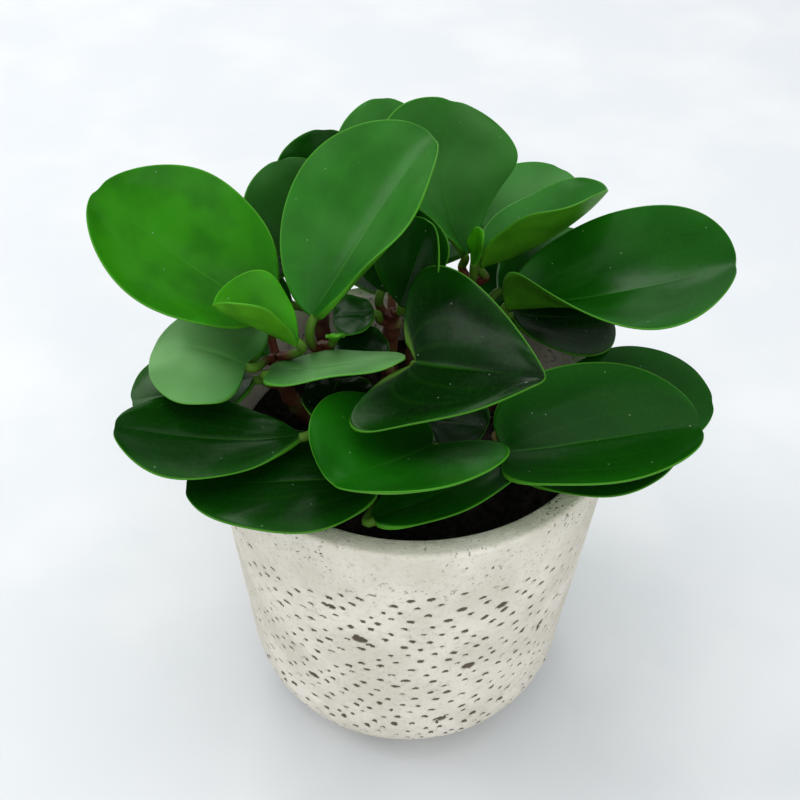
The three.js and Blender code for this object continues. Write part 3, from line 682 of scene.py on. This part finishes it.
def soil_crumbs(material):
    """Loose crumbs on the soil: lumps of four six-sided rings, each stretched, turned and set at random."""
    random = np.random.default_rng(7)
    count, sides = SOIL_CRUMBS, 6
    away = np.sqrt(random.uniform(0.02, 0.97, count)) * (inner_radius(SOIL_TOP) - 3)
    turn = random.uniform(0, 2 * np.pi, count)
    size = random.uniform(0.5, 1.7, (count, 1, 1)) * random.uniform(0.6, 1.2, (count, 1, 3))
    level = np.array([-1.0, -0.5, 0.5, 1.0])
    wide = np.sqrt(np.clip(1.05 - level ** 2, 0.04, 1))
    corners = len(level) * sides
    ring = circle(wide[:, None], steps_round(sides), level[:, None])
    lump = ring.reshape(1, -1, 3) * size * random.uniform(0.8, 1.2, (count, corners, 1))
    spin = random.uniform(0, 2 * np.pi, (count, 1))
    x = lump[..., 0] * np.cos(spin) - lump[..., 2] * np.sin(spin)
    z = lump[..., 0] * np.sin(spin) + lump[..., 2] * np.cos(spin)
    centre = circle(away, turn, SOIL_TOP - 0.7 + random.uniform(0, 0.9, count))
    points = np.stack([x, lump[..., 1], z], -1) + centre[:, None, :]
    first = (np.arange(count) * corners)[:, None, None]
    faces = (grid_faces(len(level), sides)[None] + first).reshape(-1, 4).tolist()
    lids = np.array([range(sides - 1, -1, -1), range(corners - sides, corners)])
    faces += (lids[None] + first).reshape(-1, sides).tolist()
    mesh = bpy.data.meshes.new("soil_crumbs")
    mesh.from_pydata((points.reshape(-1, 3) * MM).tolist(), [], faces)
    return place("soil_crumbs", mesh, material, "soil")


# ---- shoots ----
def shoot_line(shoot, t):
    """The point (1-t)^2 A + 2t(1-t) B + t^2 C of the shoot's bent line."""
    a, b, c = (np.array(p, float) for p in SHOOTS[shoot])
    t = np.asarray(t, float)[..., None]
    return (1 - t) ** 2 * a + 2 * t * (1 - t) * b + t * t * c


def grown_stem(shoot, material):
    """A round stem from below the soil to a domed tip, swollen where a stalk leaves it, knobbly by sines."""
    dome = STEM_SHOULDER + STEM_DOME * np.sin(np.linspace(0.15, 1, 7) * np.pi / 2)
    t = np.concatenate([np.linspace(STEM_START, STEM_SHOULDER, 60), dome])
    radius = STEM_RADIUS + (STEM_TIP_RADIUS - STEM_RADIUS) * np.clip(t, 0, 1) - 0.1
    radius = radius + 0.1 * np.sin(40 * t) * (t < 0.95)
    for leaf in LEAVES[shoot]:
        radius = radius + 0.45 * bell(t - leaf["at"], 0.05)
    over = (t - STEM_SHOULDER).clip(0) / (STEM_DOME + 0.0002)
    radius = radius * np.sqrt(np.clip(1 - over ** 2, 0.01, 1))
    turn = steps_round(28)
    centre = shoot_line(shoot, t)
    centre[:, 2] = np.maximum(centre[:, 2], SOIL_TOP - STEM_BURIED)
    t = t[:, None]
    knobbly = 1 + 0.04 * np.sin(3 * turn + 9 * t) + 0.03 * np.sin(7 * turn - 25 * t)
    points = centre[:, None, :] + circle(radius[:, None] * knobbly, turn, 0.0)
    return loft(f"grown_stem_{shoot}", points, material, "stem", f"stem_{shoot}")


# ---- leaves ----
def midrib(leaf, u):
    """Centre, forward, side and normal along the midrib: a chord from base to tip, arched by 4u(1-u) of bow
    and bend."""
    base, tip = np.array(leaf["base"], float), np.array(leaf["tip"], float)
    chord = tip - base
    right = unit(np.cross(chord, UP))
    upright = np.cross(right, unit(chord))
    arch = upright * leaf["bow"] + right * leaf["bend"]
    u = u[:, None]
    forward = unit(chord + arch * 4 * (1 - 2 * u))
    side = unit(np.cross(forward, upright))
    return base + chord * u + arch * 4 * u * (1 - u), forward, side, np.cross(side, forward)


def stalk(leaf, shoot, s):
    """Centre, forward, side and normal along the stalk: straight out of the stem, where s is below 0, then a
    cubic line that bends into the midrib."""
    centre, forward, _, normal = (row[0] for row in midrib(leaf, np.array([0.0])))
    node = shoot_line(shoot, leaf["at"])
    away = (centre - node) * [1, 1, 0]
    if np.linalg.norm(away) < STALK_RADIUS:
        away = forward * [1, 1, 0]
    start = unit(away) * math.cos(STALK_RISE) + UP * math.sin(STALK_RISE)
    clear = (STEM_RADIUS + STALK_CLEARANCE + STALK_RADIUS * math.sin(STALK_RISE)) / math.cos(STALK_RISE)
    root = node + start * clear
    reach = STALK_REACH * np.linalg.norm(centre - root)
    second, third = root + start * reach, centre - forward * reach
    q = np.maximum(s, 0)[:, None]
    p = 1 - q
    line = p ** 3 * root + 3 * p ** 2 * q * second + 3 * p * q * q * third + q ** 3 * centre
    line = line + np.minimum(s, 0)[:, None] * start * (clear - STALK_START)
    way = unit(p ** 2 * (second - root) + 2 * p * q * (third - second) + q * q * (centre - third))
    normal = unit(normal - (way @ normal)[:, None] * way)
    return line, way, np.cross(way, normal), normal


# places across one half of the blade, from the midrib at 0 to the margin at 1, close together at both
ACROSS = np.array([0, .02, .045, .08, .13, .2, .28, .37, .46, .55, .64, .72, .79, .85, .9, .935, .958, .974,
                   .986, .994, .9985, 1])
STALK_STATIONS = np.concatenate([[-1, -0.4], np.linspace(0, 1, 13)[:-1]])
BLADE_STATIONS = (1 - np.cos(np.linspace(0, 1, 62) * np.pi)) / 2


def leaf_girth(leaf, along):
    """Half width and half thickness at each place along the leaf.

    Half width is the root of the squares of the thinning stalk and of half the width times
    sin(pi u^wide)^blunt. Half thickness falls with the root of u from the stalk's to the blade's, and thins
    again at the tip."""
    swell = np.clip(np.sin(np.pi * along ** leaf["wide"]), 0, 1) ** leaf["blunt"]
    half = np.hypot(STALK_RADIUS * (1 - MIDRIB_TAPER * along), leaf["width"] / 2 * swell)
    thinning = np.sqrt(np.clip(along / THINNED_AT, 0, 1))
    thick = STALK_RADIUS + (BLADE_HALF_THICKNESS - STALK_RADIUS) * thinning
    return half, np.minimum(half, thick * (1 - TIP_THINNING * smooth(along, TIP_FROM, 1)))


def carried_out(slope, half):
    """How far out and up the skin lies: the cosine and sine of its slope, summed outward from the midrib."""
    middle = (slope[:, 1:] + slope[:, :-1]) / 2
    run = np.diff(ACROSS) * half[:, None]
    midrib_line = np.zeros((len(half), 1))
    out = np.concatenate([midrib_line, np.cumsum(np.cos(middle) * run, 1)], 1)
    rise = np.concatenate([midrib_line, np.cumsum(np.sin(middle) * run, 1)], 1)
    return out, rise


def ripples(leaf, along, hand, phase):
    """Slow waves of one half of the blade, sines of place that grow outward and die out at base and tip."""
    u, v = along[:, None], ACROSS[None, :]
    wave = RIPPLE_SHARE * leaf["width"] * np.sin(9 * u + phase[0] + hand * v * 2)
    wave = wave * np.sin(5 * v * hand + phase[1])
    wave = wave + MARGIN_RIPPLE * v ** 3 * np.sin(11 * u + phase[2 + (hand < 0)])
    return wave * smooth(u, 0.05, 0.3) * smooth(-u, -1, -0.9) * v


def leaf_shape(leaf, shoot, seed):
    """Loops of points along stalk and blade, and what each point knows of its place on the leaf.

    Across the blade, the skin's slope is the fold, eased over the midrib, plus the cup times the place
    across. Thickness closes to nothing over the last of the half width as a half round. A keel runs under
    the midrib and a groove over it, and the blade ripples slowly."""
    random = np.random.default_rng(seed)
    s, u = STALK_STATIONS, BLADE_STATIONS
    parts = [np.concatenate(pair) for pair in zip(stalk(leaf, shoot, s), midrib(leaf, u))]
    centre, forward, side, normal = (part[:, None, :] for part in parts)
    along = np.concatenate([0 * s, u])
    on_stalk = np.concatenate([1 - np.maximum(s, 0), 0 * u])
    half, thick = leaf_girth(leaf, along)
    change = (1 - along) ** leaf["ease"]
    spread = 1 - STALK_RADIUS / np.maximum(half, STALK_RADIUS)
    fold = np.radians(leaf["fold"][1] + (leaf["fold"][0] - leaf["fold"][1]) * change) * spread
    cup = np.radians(leaf["cup"]) * spread
    roll = np.radians(leaf["roll"][1] + (leaf["roll"][0] - leaf["roll"][1]) * change)
    roll = (roll * smooth(1 - on_stalk, 0.3, 1))[:, None, None]

    v = ACROSS[None, :]
    slope = fold[:, None] * v / np.sqrt(v * v + leaf["soft"] ** 2) + cup[:, None] * v
    out, rise = carried_out(slope, half)
    far = half[:, None] * v
    edge = half[:, None] - far
    rounding = np.sqrt(np.clip(1 - np.clip(1 - edge / thick[:, None], 0, 1) ** 2, 0, 1))
    depth = thick[:, None] * (1 - 0.5 * smooth(along, 0.05, 0.25)[:, None] * v * v) * rounding
    fading = smooth(along, 0.02, 0.2)[:, None] * (1 - along[:, None])
    keel = KEEL[0] * bell(far, KEEL[1]) * fading
    groove = GROOVE[0] * bell(far, GROOVE[1]) * fading
    notch = TIP_NOTCH[0] * bell(far, TIP_NOTCH[1]) * along[:, None] ** 40

    phase = random.uniform(0, 2 * np.pi, 4)
    halves = [(hand, rise + ripples(leaf, along, hand, phase)) for hand in (1, -1)]
    spare = np.maximum(half - STALK_RADIUS, 0)
    reach = np.where(spare > 0, spare ** (1 - leaf["sinus"]) * (leaf["width"] / 2) ** leaf["sinus"], 0)
    reach = (reach * (1 - along) ** 2 * (on_stalk == 0))[:, None] * v

    def skin(face):
        """Both halves of one face, from the right margin to the left."""
        strips = []
        for hand, height in halves:
            lift = face * depth + (-keel if face < 0 else -groove)
            y = hand * (out - np.sin(slope) * lift)
            back = (leaf["lobe"] + hand * leaf["skew"]) * reach + notch
            strips.append(np.stack([y, height + np.cos(slope) * lift, -back + 0 * y], -1))
        return np.concatenate([strips[0][:, ::-1], strips[1][:, 1:]], 1)

    under, top = skin(-1), skin(1)
    local = np.concatenate([under, top[:, ::-1][:, 1:-1]], 1)
    turned_side = side * np.cos(roll) + normal * np.sin(roll)
    turned_up = normal * np.cos(roll) - side * np.sin(roll)
    points = centre + turned_side * local[..., :1] + turned_up * local[..., 1:2] + forward * local[..., 2:]
    across = np.concatenate([ACROSS[::-1], -ACROSS[1:], -ACROSS[::-1][1:], ACROSS[1:-1]])[None, :]
    is_under = np.concatenate([np.ones(2 * len(ACROSS) - 1), np.zeros(2 * len(ACROSS) - 3)])[None, :]
    is_under = is_under * (np.abs(across) < 0.99) * (on_stalk == 0)[:, None]
    stalk_end = 0.1 * smooth(-along, -0.012, 0)
    rim = half[:, None] * (1 - np.abs(across))
    known = dict(across=across, along=along[:, None], under=is_under, rim=rim,
                 stalk=(on_stalk + stalk_end)[:, None], tint=leaf["tint"], grey=leaf["grey"])
    return points, known


def grown_leaf(shoot, number, shape, material):
    """One leaf of the shoot, with its stalk."""
    leaf = {**PLAIN_LEAF, **shape}
    node = f"leaf_{shoot}_{number}"
    points, known = leaf_shape(leaf, shoot, seed=len(shoot) * 100 + number)
    return loft(f"grown_{node}", points, material, "young" if shape.get("young") else "leaf", node, known)


# ---- floor, light and camera ----
def pale_ground(material):
    """The surface that the pot stands on."""
    mesh = bpy.data.meshes.new("pale_ground")
    corners = [(x * FLOOR_REACH, y * FLOOR_REACH, 0) for x, y in ((-1, -1), (1, -1), (1, 1), (-1, 1))]
    mesh.from_pydata(corners, [], [(0, 1, 2, 3)])
    mesh.materials.append(material)
    ground = bpy.data.objects.new("pale_ground", mesh)
    bpy.context.scene.collection.objects.link(ground)


def soft_light(name, place_at, size, power):
    """A square soft light that faces the plant."""
    data = bpy.data.lights.new(name, "AREA")
    data.size = size
    data.energy = power
    lamp = bpy.data.objects.new(name, data)
    bpy.context.scene.collection.objects.link(lamp)
    away = unit(np.array(place_at, float) - [0, 0, LIT_HEIGHT])
    right = unit(np.cross(UP, away))
    rows = np.stack([right, np.cross(away, right), away], 1)
    lamp.matrix_world = Matrix.Translation(place_at) @ Matrix(rows.tolist()).to_4x4()


def bright_room():
    """An even bright room, soft lights overhead and in front, and small windows to the left and behind."""
    world = bpy.data.worlds.new("room")
    world.use_nodes = True
    background = world.node_tree.nodes["Background"]
    background.inputs["Color"].default_value = (*ROOM_COLOUR, 1)
    background.inputs["Strength"].default_value = ROOM_BRIGHTNESS
    bpy.context.scene.world = world
    for name, (place_at, size, power) in LIGHTS.items():
        soft_light(name, place_at, size, power)
    bpy.context.scene.view_settings.view_transform = "Standard"
    bpy.context.scene.view_settings.look = "Medium High Contrast"


def aim_camera():
    """Looks down at the plant from the front, turned a little about its own axis."""
    data = bpy.data.cameras.new("camera")
    data.lens = CAMERA_LENS
    data.clip_start = 0.01
    camera = bpy.data.objects.new("camera", data)
    bpy.context.scene.collection.objects.link(camera)
    tilt = Matrix.Rotation(math.radians(90 - CAMERA_HEIGHT_ANGLE), 4, "X")
    roll = Matrix.Rotation(math.radians(CAMERA_ROLL), 4, "Z")
    aim, back = Matrix.Translation(CAMERA_AIM), Matrix.Translation((0, 0, CAMERA_DISTANCE))
    camera.matrix_world = aim @ tilt @ back @ roll
    bpy.context.scene.camera = camera


# ---- the whole plant ----
concrete, soil, stem, skin_of_leaf = cast_concrete(), potting_soil(), stem_skin(), leaf_skin()
cast_pot(concrete)
soil_bed(soil)
soil_crumbs(soil)
for shoot_name, leaves in LEAVES.items():
    grown_stem(shoot_name, stem)
    for place_on_shoot, leaf_row in enumerate(leaves, 1):
        grown_leaf(shoot_name, place_on_shoot, leaf_row, skin_of_leaf)
pale_ground(pale_floor())
bright_room()
aim_camera()
